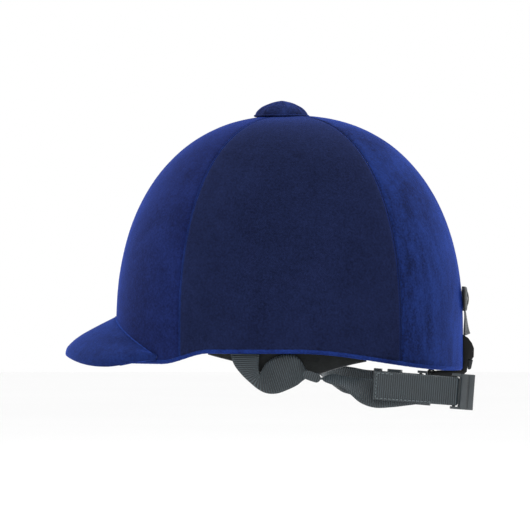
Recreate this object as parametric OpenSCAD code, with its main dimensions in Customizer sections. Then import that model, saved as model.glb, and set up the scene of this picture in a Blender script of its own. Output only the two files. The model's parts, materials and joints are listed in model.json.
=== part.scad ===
// Riding helmet with a velvet cover, a peak, a crown button and a webbing harness.
// +Z is up, the peak points to -X, the rider's left is -Y.
// The origin is the centre of the head opening, level with the highest part of the rim.

/* [Shell] */
// Half length of the velvet outside
half_length = 130; // [124:0.5:136]
// Half width of the velvet outside
half_width = 108; // [103:0.5:113]
// Height of the curved crown above the straight side wall
crown_height = 161; // [154:0.5:168]
// Height where the straight wall turns into the crown
wall_height = 13.5; // [10:0.5:17]
// Thickness of the velvet and its backing
velvet_thick = 1.3; // [1:0.1:1.6]
// Thickness of the hard shell
shell_thick = 2.7; // [2.2:0.1:3.2]
// Thickness of the foam liner
liner_thick = 20; // [17:0.5:23]
// Thickness of the comfort pads
pad_thick = 5; // [3:0.5:6]

/* [Rim] */
// How far the rim dips at the rear
rear_dip = 13.5; // [8:0.5:16]
// How far the rim dips at the front
front_dip = 8; // [4:0.5:10]

/* [Peak] */
// How far the peak reaches past the shell
peak_reach = 38; // [30:1:44]
// Thickness of the stiff board in the peak
peak_board = 3.2; // [2.5:0.1:4]

/* [Button] */
// Radius of the crown button
button_radius = 20; // [17:0.5:22]
// Height of the crown button
button_height = 12.2; // [9:0.1:14]

/* [Harness] */
// Width of the webbing
web_width = 21.5; // [19:0.5:22]
// Thickness of the webbing
web_thick = 1.5; // [1.2:0.1:1.7]
// Depth of the ear flap under the rim
flap_depth = 18.5; // [12:0.5:19]

/* [Hidden] */
$fn = 48;
eps = 0.01;                // how far joined pieces run into each other
plan_power = 2.2;          // plan outline: 2 is an ellipse, more is squarer
crown_power = 2.3;         // side outline, the same way
seam_angle = 47;           // gore seams, from the centre line
seam_gap = 0.12;           // half gap between gores, degrees
// Start, end and columns of each gore: the shell and the foam share them, so their facets nest
gores = [[-seam_angle, seam_angle, 14], [seam_angle, 180 - seam_angle, 12],
    [180 - seam_angle, 180 + seam_angle, 14], [180 + seam_angle, 360 - seam_angle, 12]];
crown_hole = 86;           // the gores stop at this crown angle, under the button
shell_in = velvet_thick + 0.05;
liner_in = shell_in + shell_thick + 0.2;
head_in = liner_in + liner_thick;
liner_lift = 7;            // the foam stops this far above the rim
button_x = -6;
shell_top = wall_height + crown_height;
button_seat = shell_top - shell_in + 0.05;
ring_x = 19;               // the ring that gathers the webbing
ring_y = -107.5;
ring_z = -20.5;
ring_wire = 1.3;
ring_inside = 12;
gather_width = 11;         // webbing width where it is gathered
left_end = [121, -97, -30.5];    // bar of the left buckle half
right_end = [100, -99.8, -31.5];   // bar of the right buckle half, before mirroring
strap_pitch = 4.2;
strap_yaw = 7.5;
layer = 2;                 // each layer of a doubled strap lies this far from its middle
left_band = 61;            // length of the doubled part
right_band = 46;
bar_radius = 1.2;
arm_angle_z = 6.6;

// ---- curves of the helmet ----

function smooth(t) = let (s = min(1, max(0, t))) s * s * (3 - 2 * s);

// Height of the rim at a place along the helmet
function rim_z(x) = -rear_dip * smooth((x - 5) / (half_length - 5))
    - front_dip * smooth((-x - 60) / 35);

// Radius of the plan outline, inset from the outside
function plan_radius(angle, inset) = 1 / pow(pow(abs(cos(angle)) / (half_length - inset), plan_power)
    + pow(abs(sin(angle)) / (half_width - inset), plan_power), 1 / plan_power);

// Half width of the plan outline at a place along the helmet
function plan_half_width(x, inset) = (half_width - inset)
    * pow(1 - pow(abs(x) / (half_length - inset), plan_power), 1 / plan_power);

// A point on the straight wall, from the rim to the start of the crown
function wall_point(angle, inset, lift, t) = let (
        r = plan_radius(angle, inset),
        low = rim_z(r * cos(angle)) + lift)
    [r * cos(angle), r * sin(angle), low + (wall_height - low) * t];

// A point on the crown, at an angle of 0 at the wall and 90 at the top
function crown_point(angle, inset, rise) = let (
        r = plan_radius(angle, inset) * pow(max(0, cos(rise)), 2 / crown_power),
        top = crown_height - inset)
    [r * cos(angle), r * sin(angle), wall_height + top * pow(sin(rise), 2 / crown_power)];

// Rows of points over a sector of the helmet, from the rim up to a crown angle
function sector(from, to, columns, inset, lift, rises, wall_rows = 2) = concat(
    [for (row = [0:wall_rows - 1]) [for (c = [0:columns])
        wall_point(from + (to - from) * c / columns, inset, lift, row / wall_rows)]],
    [for (rise = rises) [for (c = [0:columns])
        crown_point(from + (to - from) * c / columns, inset, rise)]]);

function steps(from, to, count) = [for (i = [0:count]) from + (to - from) * i / count];
crown_rows = steps(0, 84, 12);

// The same rows, right round the helmet through all four gores
function around(inset, lift, rises, wall_rows = 2) = let (
        parts = [for (g = gores) sector(g[0], g[1], g[2], inset, lift, rises, wall_rows)])
    [for (r = [0:len(parts[0]) - 1]) [for (p = parts) for (c = [0:len(p[r]) - 2]) p[r][c]]];

// ---- closed solids from two grids of points ----

// Solid between an outer and an inner grid; round = true joins the last column to the first,
// cap = true closes the last row over its middle
module slab(outer, inner, round = false, cap = false) {
    rows = len(outer);
    cols = len(outer[0]);
    last = round ? cols - 1 : cols - 2;
    n = rows * cols;
    top = rows - 1;
    side = cols - 1;
    function at(r, c) = r * cols + c % cols;
    skin_faces = [for (r = [0:top - 1]) for (c = [0:last]) each [
        [at(r, c), at(r + 1, c), at(r + 1, c + 1)],
        [at(r, c), at(r + 1, c + 1), at(r, c + 1)],
        [n + at(r, c), n + at(r + 1, c + 1), n + at(r + 1, c)],
        [n + at(r, c), n + at(r, c + 1), n + at(r + 1, c + 1)]]];
    low_faces = [for (c = [0:last]) each [
        [at(0, c), at(0, c + 1), n + at(0, c + 1)],
        [at(0, c), n + at(0, c + 1), n + at(0, c)]]];
    top_faces = cap
        ? [for (c = [0:last]) each [
            [at(top, c + 1), at(top, c), 2 * n],
            [n + at(top, c), n + at(top, c + 1), 2 * n + 1]]]
        : [for (c = [0:last]) each [
            [at(top, c + 1), at(top, c), n + at(top, c)],
            [at(top, c + 1), n + at(top, c), n + at(top, c + 1)]]];
    side_faces = round ? [] : [for (r = [0:top - 1]) each [
        [at(r + 1, 0), at(r, 0), n + at(r, 0)],
        [at(r + 1, 0), n + at(r, 0), n + at(r + 1, 0)],
        [at(r, side), at(r + 1, side), n + at(r + 1, side)],
        [at(r, side), n + at(r + 1, side), n + at(r, side)]]];
    poles = cap ? [row_middle(outer[top]), row_middle(inner[top])] : [];
    polyhedron(
        points = concat([for (row = outer) each row], [for (row = inner) each row], poles),
        faces = concat(skin_faces, low_faces, top_faces, side_faces), convexity = 8);
}

function row_middle(row) = let (ones = [for (p = row) 1]) [for (k = [0:2])
    [for (p = row) p[k]] * ones / len(row)];

// ---- shell ----

// One velvet panel between two seams
module gore(place) {
    rises = concat(crown_rows, [crown_hole]);
    from = place[0] + seam_gap;
    to = place[1] - seam_gap;
    slab(sector(from, to, place[2], 0, 0, rises), sector(from, to, place[2], velvet_thick, 0, rises));
}

module cover_front() {
    color("#24418f") gore(gores[2]);
}

module cover_left() {
    color("#1c2650") gore(gores[3]);
}

module cover_right() {
    color("#1c2650") gore(gores[1]);
}

module cover_rear() {
    color("#2a4690") gore(gores[0]);
}

// Bound edge, a rounded cord wrapped round the bottom of the shell
module hem_binding() {
    columns = 72;
    section = [[0.45, -0.1], [-0.05, -1.2], [0.8, -2.4], [2.2, -2.9], [3.6, -2.4], [4.4, -1.2],
        [4.4, 2], [4.15, 2], [4.15, -0.1]];
    outer = [for (s = section) [for (c = [0:columns - 1]) let (
            angle = 360 * c / columns,
            r = plan_radius(angle, s[0]))
        [r * cos(angle), r * sin(angle), rim_z(r * cos(angle)) + s[1]]]];
    count = len(section);
    color("#2b54b4") polyhedron(
        points = [for (row = outer) each row],
        faces = [for (r = [0:count - 1]) for (c = [0:columns - 1]) let (
                a = r * columns + c,
                b = r * columns + (c + 1) % columns,
                e = ((r + 1) % count) * columns + c,
                f = ((r + 1) % count) * columns + (c + 1) % columns) each
            [[b, e, a], [b, f, e]]],
        convexity = 6);
}

// Hard shell, open under the button for the rivet
module outer_shell() {
    rises = concat(crown_rows, [89]);
    color("#303338") slab(around(shell_in, 0, rises),
        around(shell_in + shell_thick, 0, rises), round = true);
}

// Impact liner, closed over the crown
module foam_liner() {
    color("#e8e6df") slab(around(liner_in, liner_lift, crown_rows, 1),
        around(head_in, liner_lift, crown_rows, 1), round = true, cap = true);
}

// ---- peak ----

peak_root = 97;            // the peak joins the side of the shell here
peak_rows = concat(steps(0, 0.8, 5), [0.88, 0.94, 0.98]);

function peak_angle(s) = 180 + s * atan2(plan_half_width(peak_root, 0), peak_root);
function peak_inner(s, inset) = let (a = peak_angle(s), r = plan_radius(a, inset))
    [r * cos(a), r * sin(a)];
function peak_outer(s) = [
    -peak_root - (half_length + peak_reach - peak_root) * cos(90 * s),
    -plan_half_width(peak_root, 0) * sin(90 * s)];
// Height of the top of the peak where it meets the shell
function peak_join(s) = 23.6 - 30 * pow(abs(s), 1.4);
// The layers of the peak thin out towards its two ends
function peak_taper(s) = 1 - 0.7 * smooth((abs(s) - 0.6) / 0.4);
// Height of the top of the peak at its edge, before the edge rolls over
function peak_lip(s) = 4.5 - 7.5 * smooth(abs(s) * 1.7) + 1.6 * smooth((abs(s) - 0.6) / 0.4);
// A point on the peak, t = 0 at the shell and 1 at the edge, a depth under its top
function peak_point(s, t, depth) = let (
        p = peak_inner(s, -0.15),
        q = peak_outer(s),
        roll = 5.5 * pow(t, 6))
    [p[0] + (q[0] - p[0]) * t, p[1] + (q[1] - p[1]) * t,
        peak_join(s) + (peak_lip(s) - peak_join(s)) * t - roll - depth * peak_taper(s)];

function peak_grid(depth, rows) = [for (t = rows)
    [for (i = [0:22]) peak_point(0.985 * (1 - 2 * i / 22), t, depth)]];

module peak_layer(top, thick, rows) {
    slab(peak_grid(top, rows), peak_grid(top + thick, rows));
}

module peak_top_cover() {
    color("#2c4c9c") peak_layer(0, velvet_thick, concat(peak_rows, [1]));
}

// The board stops short of the edge, where the two covers meet
module peak_core() {
    color("#3a3a3a") peak_layer(velvet_thick + 0.05, peak_board, peak_rows);
}

module peak_under_cover() {
    color("#1c2a5c") peak_layer(velvet_thick + 0.1 + peak_board, velvet_thick, concat(peak_rows, [1]));
}

// ---- crown button ----

// Half section of a low dome
function dome_section(radius, height, count) = [for (i = [0:count])
    [radius * pow(cos(90 * i / count), 1.3), height * sin(90 * i / count)]];

module button_core() {
    color("#55585c") translate([button_x, 0, button_seat])
        difference() {
            rotate_extrude() polygon(concat([[0, 0]],
                dome_section(button_radius - 1.4, button_height - 1.4, 12)));
            translate([0, 0, -1]) cylinder(r = 2.6, h = button_height - 3);
        }
}

module button_cover() {
    outer = dome_section(button_radius, button_height, 12);
    inner = dome_section(button_radius - 1.35, button_height - 1.35, 12);
    color("#2a3f7e") translate([button_x, 0, button_seat])
        rotate_extrude() polygon(concat(outer, [for (i = [12:-1:0]) inner[i]]));
}

// Rivet through the top of the shell into the button
module button_rivet() {
    color("#b9bcc0") translate([button_x, 0, 0]) {
        translate([0, 0, shell_top - 6]) cylinder(r = 2.4, h = 12);
        translate([0, 0, shell_top - 7.4]) cylinder(r = 5.5, h = 1.6);
    }
}

module button_washer() {
    color("#8f9296") translate([button_x, 0, shell_top - 5.7])
        difference() {
            cylinder(r = 8, h = 1);
            translate([0, 0, -1]) cylinder(r = 2.5, h = 3);
        }
}

// ---- comfort pads ----

pad_gap = 0.5;

// Pad on the inside of the foam, between two angles and two crown angles
module inner_pad(from, to, columns, low, high, rows) {
    rises = steps(low, high, rows);
    function skin(inset) = [for (rise = rises) [for (c = [0:columns])
        crown_point(from + (to - from) * c / columns, inset, rise)]];
    slab(skin(head_in + pad_gap), skin(head_in + pad_thick));
}

module crown_pad() {
    rises = steps(62, 84, 4);
    function skin(inset) = [for (rise = rises) [for (c = [0:35])
        crown_point(c * 10, inset, rise)]];
    color("#202226") slab(skin(head_in + pad_gap), skin(head_in + pad_thick), round = true, cap = true);
}

module brow_pad() {
    color("#202226") inner_pad(147, 213, 12, 0.5, 20, 4);
}

module temple_pad(side) {
    inner_pad(side > 0 ? 40 : 220, side > 0 ? 140 : 320, 14, 0.5, 18, 4);
}

module temple_pad_left() {
    color("#202226") temple_pad(-1);
}

module temple_pad_right() {
    color("#202226") temple_pad(1);
}

module rear_pad() {
    color("#202226") inner_pad(-33, 33, 12, 0.5, 20, 4);
}

// ---- harness anchors ----

anchor_places = [-56, 50];

// A short strip on the inside of the shell, between two places along the helmet and two
// heights above the rim
module shell_strip(x0, x1, z0, z1, gap, thick) {
    function skin(extra) = [for (z = [z0, z1]) [for (i = [0:6])
        let (x = x0 + (x1 - x0) * i / 6)
        [x, -(plan_half_width(x, shell_in + shell_thick) - gap - extra), rim_z(x) + z]]];
    slab(skin(0), skin(thick));
}

module anchor_tabs_left() {
    color("#26282b") for (x = anchor_places) shell_strip(x - 9, x + 9, 2.3, 6.6, 0.4, 1.6);
}

module anchor_tabs_right() {
    mirror([0, 1, 0]) anchor_tabs_left();
}

// Rivets from the shell through the anchor tabs
module harness_rivets() {
    color("#9a9da1") for (side = [0, 1]) mirror([0, side, 0])
        for (x = anchor_places) {
            wall = plan_half_width(x, shell_in + shell_thick);
            turn = atan2(plan_half_width(x - 5, 4) - plan_half_width(x + 5, 4), 10);
            translate([x, -wall, rim_z(x) + 4.4]) rotate([90, 0, turn])
                translate([0, 0, -3.2]) {
                    cylinder(r = 1.2, h = 4.6);
                    cylinder(r = 2, h = 1.2);
                }
        }
}

// ---- ear flap ----

flap_from = -66;           // the lower edge starts its curve here
flap_to = 66;
flap_tip = 16;
flap_start = -60;          // ends of the flap itself
flap_end = 56;
flap_gap = 5.4;            // between the shell and the flap
// Lower edge of the flap: straight down to its tip, then a slack curve up to the rear
function flap_low(x) = x < flap_tip
    ? -1 - flap_depth * pow((x - flap_from) / (flap_tip - flap_from), 0.8)
    : -7.5 - (flap_depth - 6.5) * pow(1 - (x - flap_tip) / (flap_to - flap_tip), 1.5);

// Upper edge of the flap, cut down at both ends so that it swings clear of the foam
function flap_high(x) = 3 - 3.5 * max(0, (-45 - x) / 15) - 8.5 * pow(max(0, (x - 28) / 28), 1.5);

module ear_flap() {
    function skin(extra) = [for (t = steps(0, 1, 3)) [for (x = steps(flap_start, flap_end, 20))
        [x, -(plan_half_width(x, shell_in + shell_thick) - flap_gap - extra),
            flap_low(x) + (flap_high(x) - flap_low(x)) * t]]];
    slab(skin(0), skin(1.8));
}

module ear_flap_left() {
    color("#2b2e31") ear_flap();
}

module ear_flap_right() {
    color("#2b2e31") mirror([0, 1, 0]) ear_flap();
}

// ---- webbing ----

function unit(v) = v / norm(v);

// Smooth curve through points, with extra points between them
function between(a, b, c, d, t) = 0.5 * (2 * b + (c - a) * t + (2 * a - 5 * b + 4 * c - d) * t * t
    + (3 * b - a - 3 * c + d) * t * t * t);
function smoothed(points, parts) = let (last = len(points) - 1) concat(
    [for (i = [0:last - 1]) for (k = [0:parts - 1])
        between(points[max(0, i - 1)], points[i], points[i + 1], points[min(last, i + 2)],
            k / parts)],
    [points[last]]);

// Ribbon from pairs of edge points
module ribbon(pairs, thick, parts = 3) {
    edges = smoothed(pairs, parts);
    count = len(edges);
    function mid(i) = (edges[i][0] + edges[i][1]) / 2;
    function along(i) = unit(mid(min(count - 1, i + 1)) - mid(max(0, i - 1)));
    function normal(i) = unit(cross(along(i), edges[i][1] - edges[i][0]));
    function face(k) = [for (i = [0:count - 1]) [
        edges[i][0] + normal(i) * thick / 2 * k, edges[i][1] + normal(i) * thick / 2 * k]];
    slab(face(-1), face(1));
}

// Edge points of a ribbon from centre places, each [x, y, z, roll, width]:
// roll 0 stands the webbing on edge, 90 lays it flat
function rolled(list) = [for (i = [0:len(list) - 1]) let (
        here = [for (k = [0:2]) list[i][k]],
        next = list[min(len(list) - 1, i + 1)],
        back = list[max(0, i - 1)],
        along = unit([for (k = [0:2]) next[k] - back[k]]),
        flat = unit(cross([0, 0, 1], along)),
        tall = cross(along, flat),
        across = (tall * cos(list[i][3]) + flat * sin(list[i][3])) * list[i][4] / 2)
    [here - across, here + across]];

// Loop strap: down inside the rim, folded back at the bottom, up and back to the ring
module loop_strap() {
    edges = [
        [[-44.6, -96.9, 3], [-22.3, -99.2, 3]],
        [[-44.6, -97.2, -1], [-22.1, -99.5, -1]],
        [[-41.6, -101, -10.5], [-23, -104.8, -11]],
        [[-35.5, -103.5, -18.5], [-22.8, -107, -16]],
        [[-29, -105, -24.6], [-22.2, -107.6, -18.4]],
        [[-22.8, -104.8, -29.6], [-21.4, -106.4, -16.9]],
        [[-16.5, -103.8, -32.3], [-20, -103.9, -13.3]],
        [[-9, -103.8, -32.3], [-16.6, -101, -8.6]],
        [[-1.5, -105.4, -29.6], [-9.4, -101.2, -4.4]],
        [[5, -106.6, -26.4], [-1, -101.6, -3]],
        [[8.6, -108.6, -23.4], [6.4, -102.6, -6]],
        [[12.6, -112.4, -20.2], [12.6, -102.6, -16.4]]];
    ribbon(edges, web_thick);
}

module loop_strap_left() {
    color("#4d5a62") loop_strap();
}

module loop_strap_right() {
    color("#4d5a62") mirror([0, 1, 0]) loop_strap();
}

// Narrow ring: its rear bar is the pivot of the chin strap, its front bar holds the loop strap
ring_span = 6.6;
ring_tilt = 19;

module strap_ring() {
    length = ring_inside + 4.4;
    translate([ring_x, ring_y, ring_z]) rotate([0, ring_tilt, 0]) {
        for (x = [0, -ring_span]) translate([x, length / 2, 0])
            rotate([90, 0, 0]) cylinder(r = ring_wire, h = length);
        for (y = [-length / 2, ring_inside / 2]) translate([-ring_span, y, -1])
            cube([ring_span, 2.2, 2]);
    }
}

module strap_ring_left() {
    color("#3b4045") strap_ring();
}

module strap_ring_right() {
    color("#3b4045") mirror([0, 1, 0]) strap_ring();
}

// Frame of the doubled end of a strap: +X along it to the bar, +Z across it, +Y away from outside
module strap_frame(end) {
    translate(end) rotate([0, strap_pitch, strap_yaw]) children();
}

function strap_place(end, x, y) = end
    + x * [cos(strap_pitch) * cos(strap_yaw), cos(strap_pitch) * sin(strap_yaw), -sin(strap_pitch)]
    + y * [-sin(strap_yaw), cos(strap_yaw), 0];

// Doubled end, sewn round the bar of a buckle half
module doubled_end(end, band, inner_length) {
    strap_frame(end) {
        translate([-band, -layer - web_thick / 2, -web_width / 2])
            cube([band + eps, web_thick, web_width]);
        translate([-inner_length, layer - web_thick / 2, -web_width / 2])
            cube([inner_length + eps, web_thick, web_width]);
        difference() {
            translate([0, 0, -web_width / 2]) cylinder(r = layer + web_thick / 2, h = web_width);
            translate([0, 0, -web_width]) cylinder(r = layer - web_thick / 2, h = 2 * web_width);
            translate([-10, -10, -web_width]) cube([10, 20, 2 * web_width]);
        }
    }
}

// Sewn sleeve on the pivot bar of the ring
module ring_sleeve() {
    translate([ring_x, ring_y + gather_width / 2, ring_z]) rotate([90, 0, 0])
        difference() {
            cylinder(r = ring_wire + 1.9, h = gather_width);
            translate([0, 0, -1]) cylinder(r = ring_wire + 0.35, h = gather_width + 2);
        }
}

module chin_strap_left() {
    join = strap_place(left_end, -20, layer);
    places = [
        [21.6, -107.5, -21, 90, 10.6], [26, -108, -21.2, 74, 14], [32, -108.4, -21.6, 64, 18],
        [39, -108, -23.4, 66, 20], [46, -106.6, -26.8, 48, web_width],
        [54, -104.4, -30.2, 26, web_width], [63, -102.2, -32.2, 8, web_width],
        [74, -100.6, -31.8, 0, web_width], [88, -99.2, -30.2, 0, web_width],
        [join[0], join[1], join[2], 0, web_width]];
    color("#4d5a62") {
        ring_sleeve();
        ribbon(rolled(places), web_thick);
        doubled_end(left_end, left_band, 20.2);
    }
}

module chin_strap_right() {
    join = strap_place(right_end, -right_band, layer);
    places = [
        [21.6, -107.5, -21, 90, 10.6], [26, -107.8, -21.2, 72, 14], [32, -107.6, -22.1, 46, 18],
        [39, -106.6, -23.9, 22, 20], [46, -105.4, -25.9, 8, web_width],
        [join[0] - 0.2, join[1], join[2], 0, web_width],
        [join[0] + 4, join[1] + 0.5, join[2] - 0.3, 0, web_width]];
    color("#4d5a62") mirror([0, 1, 0]) {
        ring_sleeve();
        ribbon(rolled(places), web_thick);
        doubled_end(right_end, right_band - 4, right_band + 0.2);
    }
}

// ---- buckle ----

// Box with round edges along Z, from x0 to x1
module round_bar(x0, x1, half_y, half_z, r) {
    for (x = [x0 + r, x1 - r]) for (y = [-half_y + r, half_y - r])
        translate([x, y, -half_z]) cylinder(r = r, h = 2 * half_z);
    translate([x0 + r, -half_y, -half_z]) cube([x1 - x0 - 2 * r, 2 * half_y, 2 * half_z]);
    translate([x0, -half_y + r, -half_z]) cube([x1 - x0, 2 * half_y - 2 * r, 2 * half_z]);
}

rail_in = web_width / 2 + 0.5;
rail_out = rail_in + 1.8;

// Bar for the webbing and the two rails that hold it
module buckle_bar() {
    translate([0, 0, -rail_out]) cylinder(r = bar_radius, h = 2 * rail_out);
    for (z = [rail_in, -rail_out]) translate([-2.4, -2.2, z]) cube([8, 4.4, rail_out - rail_in]);
}

module buckle_socket() {
    color("#4a5459") strap_frame(left_end) {
        buckle_bar();
        difference() {
            round_bar(3.8, 14, 4.8, rail_out, 1.6);
            translate([5.4, -3.2, -9.9]) cube([12, 6.4, 19.8]);
            for (z = [9, -16]) translate([7.6, -2.5, z]) cube([3.8, 5, 7]);
            translate([8.4, -5, -rail_out - 1]) cube([1.4, 1.1, 2 * rail_out + 2]);
        }
        translate([3.05, -1.1, -rail_in - eps]) cube([1.2, 2.2, 2 * rail_in + 2 * eps]);
    }
}

module buckle_plug() {
    color("#4a5459") mirror([0, 1, 0]) strap_frame(right_end) {
        buckle_bar();
        round_bar(3.8, 9, 3.4, rail_out, 1.4);
        translate([8.5, -1.4, -2.4]) cube([9, 2.8, 4.8]);
    }
}

// Sprung arm of the plug, with its latch head
module latch_arm(side) {
    color("#4a5459") mirror([0, 1, 0]) strap_frame(right_end)
        scale([1, 1, side]) translate([9.3, 0, arm_angle_z])
            rotate([90, 0, 0]) translate([0, 0, -1.9]) linear_extrude(3.8)
                polygon([[0, -1], [8.8, -0.9], [10, 0.4], [9.4, 1.8], [7.2, 3.6], [6.2, 3.6],
                    [6.2, 1.2], [0, 1]]);
}

module latch_arm_upper() {
    latch_arm(1);
}

module latch_arm_lower() {
    latch_arm(-1);
}

// Ladder slide on the doubled part of the right strap
module strap_adjuster() {
    color("#4a5459") mirror([0, 1, 0]) strap_frame(right_end) translate([-20, 0, 0]) {
        difference() {
            round_bar(-5.5, 5.5, 4.6, 12.5, 1.5);
            translate([-6, -3.2, -11.3]) cube([12, 6.4, 22.6]);
        }
        translate([0, 0, -11.8]) cylinder(r = 0.85, h = 23.6);
    }
}

module strap_keeper() {
    color("#3f474c") mirror([0, 1, 0]) strap_frame(right_end) translate([-33, 0, 0])
        difference() {
            round_bar(-3, 3, 4.3, 12.3, 1.2);
            translate([-4, -3.2, -11.3]) cube([8, 6.4, 22.6]);
        }
}

// ---- rear bow ----

rear_x = half_length;
bow_z = 37;                // middle of the bow, above the shell's straight wall

// A ribbon loop of the bow, flattened against the shell
module bow_loops() {
    color("#1f2326") for (side = [0, 1]) mirror([0, side, 0])
        translate([rear_x + 0.3, 3.2, bow_z]) rotate([0, 0, 7]) difference() {
            linear_extrude(height = 19, center = true)
                polygon([for (i = [0:24]) let (a = 15 * i)
                    [1.9 + 1.9 * sin(a), 11 - 11 * cos(a)]]);
            linear_extrude(height = 30, center = true)
                polygon([for (i = [0:24]) let (a = 15 * i)
                    [1.9 + 1.0 * sin(a), 11 - 9.9 * cos(a)]]);
        }
}

module bow_knot() {
    color("#1f2326") translate([rear_x + 0.2, 0, bow_z]) intersection() {
        translate([-1.2, 0, -7.5]) cylinder(r = 5.6, h = 15);
        translate([0.2, -3.1, -7]) cube([6, 6.2, 14]);
    }
}

// Two tails hanging from the knot and flaring away from the shell
module bow_tails() {
    color("#1f2326") for (side = [0, 1]) mirror([0, side, 0])
        translate([rear_x + 0.6, 1.2, 29.5]) rotate([14, 0, 0]) rotate([90, 0, 0])
            linear_extrude(height = 11, center = true)
                polygon([[0, 0], [1.1, 0], [2.6, -8], [4.7, -15.5], [4.2, -17.8], [3.2, -17.8],
                    [3.4, -15.5], [1.5, -8]]);
}

// ---- nape ----

nape_x = 106.2;            // bar on which the nape pad swings
nape_z = -18.4;
nape_width = 24;
nape_sleeve = 16;

// Glossy bracket that hooks round the rear of the rim, with a bar at its front end
module nape_bracket() {
    color("#17191b") {
        difference() {
            translate([0, nape_width / 2, 0]) rotate([90, 0, 0]) linear_extrude(nape_width)
                polygon([[130.15, 10], [133.6, 7.8], [136.4, 4], [138, 0], [137.8, -6.4],
                    [136.6, -8.2], [133.4, -8.2], [133.2, -13], [132.6, -17.5], [128.5, -21.4],
                    [111.5, -21.2], [106.2, -19.4], [106.2, -17.4], [112, -16.8], [128.6, -16.8],
                    [130.15, -12]]);
            translate([100, -nape_sleeve / 2 - 0.4, -25]) cube([10.2, nape_sleeve + 0.8, 12]);
        }
        translate([nape_x, nape_width / 2, nape_z]) rotate([90, 0, 0])
            cylinder(r = 1.3, h = nape_width);
    }
}

module nape_rivets() {
    color("#b9bcc0") for (y = [-7.5, 7.5]) translate([119, y, -22.4]) {
        cylinder(r = 2.6, h = 1.2);
        cylinder(r = 1.2, h = 2.6);
    }
}

// Webbing folded through the lower slot of the bracket
module nape_webbing() {
    color("#4d5a62") translate([0, 10.75, 0]) rotate([90, 0, 0]) linear_extrude(21.5)
        polygon([[133.5, -8.4], [137.4, -8.5], [136.6, -12], [135.9, -15.4], [134, -16.2],
            [133.3, -13]]);
}

// Pad behind the head, hung on the bar of the bracket
module nape_pad() {
    function skin(extra) = [for (t = steps(0, 1, 3)) [for (i = [0:12]) let (
            a = -24 + 48 * i / 12,
            r = plan_radius(a, 22.5) - extra)
        [r * cos(a), r * sin(a), -20.7 - 15 * t * cos(2.2 * a)]]];
    color("#26282b") {
        slab([for (k = [3:-1:0]) skin(0)[k]], [for (k = [3:-1:0]) skin(3)[k]]);
        translate([nape_x, nape_sleeve / 2, nape_z]) rotate([90, 0, 0]) difference() {
            cylinder(r = 3, h = nape_sleeve);
            translate([0, 0, -1]) cylinder(r = 1.65, h = nape_sleeve + 2);
        }
    }
}

cover_front();
cover_left();
cover_right();
cover_rear();
hem_binding();
outer_shell();
foam_liner();
peak_core();
peak_top_cover();
peak_under_cover();
button_core();
button_cover();
button_rivet();
button_washer();
crown_pad();
brow_pad();
temple_pad_left();
temple_pad_right();
rear_pad();
harness_rivets();
anchor_tabs_left();
anchor_tabs_right();
ear_flap_left();
ear_flap_right();
loop_strap_left();
loop_strap_right();
strap_ring_left();
strap_ring_right();
chin_strap_left();
chin_strap_right();
buckle_socket();
buckle_plug();
latch_arm_upper();
latch_arm_lower();
strap_adjuster();
strap_keeper();
bow_loops();
bow_tails();
bow_knot();
nape_bracket();
nape_rivets();
nape_webbing();
nape_pad();
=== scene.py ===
"""Looks of the riding helmet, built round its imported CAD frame. Lengths are metres.

The frame's axes: +Z up, the peak towards -X, the wearer's left towards -Y.
"""

import json
import math

import bpy
import numpy as np
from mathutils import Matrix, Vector, noise


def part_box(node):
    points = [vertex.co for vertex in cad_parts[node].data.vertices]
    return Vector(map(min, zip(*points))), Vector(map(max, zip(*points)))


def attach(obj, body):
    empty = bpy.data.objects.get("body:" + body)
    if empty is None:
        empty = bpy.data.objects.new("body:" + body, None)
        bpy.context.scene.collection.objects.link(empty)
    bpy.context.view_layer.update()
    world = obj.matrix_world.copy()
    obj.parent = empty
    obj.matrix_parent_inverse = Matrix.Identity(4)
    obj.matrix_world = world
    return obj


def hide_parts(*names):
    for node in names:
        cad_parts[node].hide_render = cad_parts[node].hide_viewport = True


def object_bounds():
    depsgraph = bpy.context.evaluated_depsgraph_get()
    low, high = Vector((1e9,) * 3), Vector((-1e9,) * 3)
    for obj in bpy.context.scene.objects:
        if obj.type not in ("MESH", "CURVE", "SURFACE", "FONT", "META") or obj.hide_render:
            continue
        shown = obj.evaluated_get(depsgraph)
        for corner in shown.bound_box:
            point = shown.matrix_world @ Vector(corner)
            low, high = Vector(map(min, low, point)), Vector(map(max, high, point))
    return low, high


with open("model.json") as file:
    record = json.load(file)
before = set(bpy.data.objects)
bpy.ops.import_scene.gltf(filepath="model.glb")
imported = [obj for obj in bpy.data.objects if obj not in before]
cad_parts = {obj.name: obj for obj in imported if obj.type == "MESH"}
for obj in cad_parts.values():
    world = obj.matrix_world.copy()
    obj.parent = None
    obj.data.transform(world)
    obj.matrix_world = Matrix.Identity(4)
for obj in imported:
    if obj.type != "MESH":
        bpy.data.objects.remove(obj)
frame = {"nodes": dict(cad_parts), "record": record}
CAD_BOX = [list(corner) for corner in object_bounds()]
MM = 0.001

# ---- the helmet's own curves, with sizes read from the frame ----

COVER_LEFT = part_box("cover_left")
COVER_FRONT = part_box("cover_front")
HALF_LENGTH = -COVER_FRONT[0].x
HALF_WIDTH = -COVER_LEFT[0].y
WALL_HEIGHT = 13.5 * MM      # the straight wall turns into the crown here
CROWN_HEIGHT = 161 * MM
PLAN_POWER = 2.2
CROWN_POWER = 2.3
REAR_DIP = 13.5 * MM
FRONT_DIP = 8 * MM
SEAM_ANGLE = 47.0            # gore seams, degrees from the centre line
VELVET = 1.3 * MM
SHELL_INSIDE = 4.05 * MM     # from the outside to the shell's inner face
FOAM_OUTSIDE = 4.25 * MM
HEAD_INSIDE = 24.25 * MM     # from the outside to the foam's inner face
PAD = 5 * MM
PAD_BACK = 0.55 * MM          # gap between a pad and the foam


def smooth(t):
    t = np.clip(t, 0, 1)
    return t * t * (3 - 2 * t)


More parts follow.
